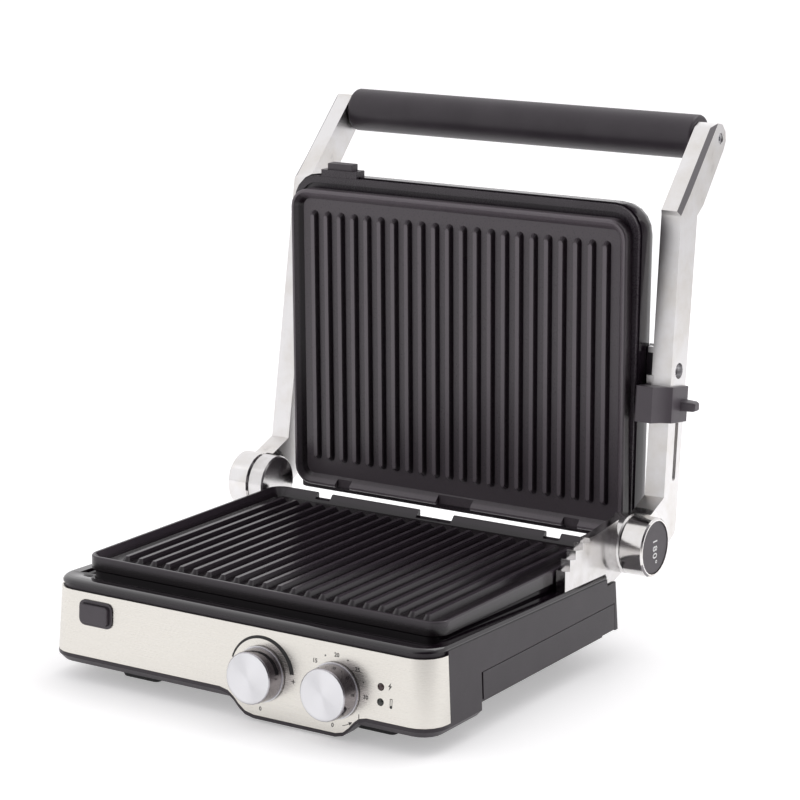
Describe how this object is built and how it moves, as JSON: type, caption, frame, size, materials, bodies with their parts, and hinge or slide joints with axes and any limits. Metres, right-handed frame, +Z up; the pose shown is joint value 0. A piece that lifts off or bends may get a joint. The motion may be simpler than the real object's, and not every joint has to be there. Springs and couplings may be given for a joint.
{
  "type": "electric contact grill",
  "caption": "Countertop contact grill with ribbed removable plates, a floating hinged lid on cast arms, a side drip tray and two dial controls.",
  "frame": {"origin": "centre of the footprint of the open grill, on the table under its feet", "axes": "+X to the right seen from the front, +Y from the knobs to the hinge, +Z up"},
  "size_m": [0.3724, 0.4202, 0.3847],
  "materials": {
    "satin_black": "satin moulded thermoplastic",
    "gloss_black": "glossy moulded thermoplastic",
    "dark_grey": "fine matte moulding",
    "grip_black": "matte heat-resistant grip",
    "foot_rubber": "moulded rubber",
    "brushed_fascia": "stainless sheet brushed along its length",
    "plated_steel": "bright plated turned steel",
    "cast_alloy": "polished die-cast alloy",
    "spun_alloy": "spun face, bright turned side",
    "non_stick": "die-cast plate with dark non-stick coating",
    "pressed_sheet": "pressed aluminised sheet",
    "element_sheath": "sheathed tubular element",
    "lens_red": "tinted unlit lens",
    "lens_green": "tinted unlit lens"
  },
  "bodies": {
    "base": {"lower_housing": "satin_black", "deck_trim": "gloss_black", "front_fascia": "brushed_fascia", "bottom_cover": "satin_black", "lower_heat_reflector": "pressed_sheet", "lower_heating_element": "element_sheath", "front_foot_left": "foot_rubber", "rear_foot_left": "foot_rubber", "front_foot_right": "foot_rubber", "rear_foot_right": "foot_rubber", "release_button_bezel": "dark_grey", "temperature_switch_case": "satin_black", "timer_switch_case": "satin_black", "power_cord_gland": "foot_rubber", "power_indicator_lens": "lens_red", "heat_indicator_lens": "lens_green", "hinge_bracket_right": "cast_alloy", "hinge_bracket_left": "cast_alloy", "hinge_pin_right": "plated_steel", "hinge_pin_left": "plated_steel"},
    "lower_plate": {"lower_grill_plate": "non_stick"},
    "tray": {"drip_tray": "satin_black"},
    "lower_plate_button": {"lower_plate_release_button": "dark_grey"},
    "temperature_control": {"temperature_knob": "spun_alloy", "temperature_shaft": "plated_steel"},
    "timer_control": {"timer_knob": "spun_alloy", "timer_shaft": "plated_steel"},
    "arm_frame": {"arm_right": "cast_alloy", "arm_left": "cast_alloy", "left_hub_cap": "dark_grey", "handle_grip": "grip_black", "handle_rod": "plated_steel", "handle_screw_right": "plated_steel", "handle_screw_left": "plated_steel", "lid_pivot_bolt_right": "plated_steel", "lid_pivot_bolt_left": "plated_steel"},
    "hub_button": {"release_button_180": "dark_grey"},
    "slider": {"height_slider": "dark_grey"},
    "lid": {"lid_cover": "gloss_black", "lid_pivot_block_left": "satin_black", "lid_pivot_block_right": "satin_black", "lid_frame": "satin_black", "upper_heat_reflector": "pressed_sheet", "upper_heating_element": "element_sheath"},
    "upper_plate": {"upper_grill_plate": "non_stick"},
    "upper_plate_button": {"upper_plate_release_button": "dark_grey"}
  },
  "joints": [
    {"name": "lid_hinge", "type": "hinge", "parent": "base", "child": "arm_frame", "pos_m": [0, 0.07579, 0.084], "axis": [-1, 0, 0], "range_deg": [-93, 79.5]},
    {"name": "lid_float", "type": "hinge", "parent": "arm_frame", "child": "lid", "pos_m": [0, 0.12709, 0.2047], "axis": [-1, 0, 0], "range_deg": [0, 12]},
    {"name": "height_slide", "type": "slide", "parent": "arm_frame", "child": "slider", "axis": [0.0251, -0.1258, -0.9917], "range_m": [0, 0.044]},
    {"name": "hub_button_press", "type": "slide", "parent": "arm_frame", "child": "hub_button", "axis": [-1, 0, 0], "range_m": [0, 0.0025], "stiffness_N_per_m": 400, "springref_m": -0.001},
    {"name": "upper_plate_release", "type": "slide", "parent": "lid", "child": "upper_plate", "axis": [0, -0.9998, -0.0175], "range_m": [0, 0.018]},
    {"name": "upper_button_press", "type": "slide", "parent": "lid", "child": "upper_plate_button", "axis": [0, 0.0175, -0.9998], "range_m": [0, 0.003], "stiffness_N_per_m": 400, "springref_m": -0.001},
    {"name": "lower_plate_lift", "type": "slide", "parent": "base", "child": "lower_plate", "axis": [0, 0, 1], "range_m": [0, 0.03]},
    {"name": "lower_button_press", "type": "slide", "parent": "base", "child": "lower_plate_button", "axis": [0, 0.9983, -0.0579], "range_m": [0, 0.0025], "stiffness_N_per_m": 400, "springref_m": -0.001},
    {"name": "tray_slide", "type": "slide", "parent": "base", "child": "tray", "axis": [1, 0, 0], "range_m": [0, 0.2]},
    {"name": "temperature_turn", "type": "hinge", "parent": "base", "child": "temperature_control", "pos_m": [0.0244, -0.193, 0.0345], "axis": [0, 0.9983, -0.0579], "range_deg": [0, 270]},
    {"name": "timer_turn", "type": "hinge", "parent": "base", "child": "timer_control", "pos_m": [0.085, -0.19303, 0.034], "axis": [0, 0.9983, -0.0579], "range_deg": [-54, 270]}
  ]
}
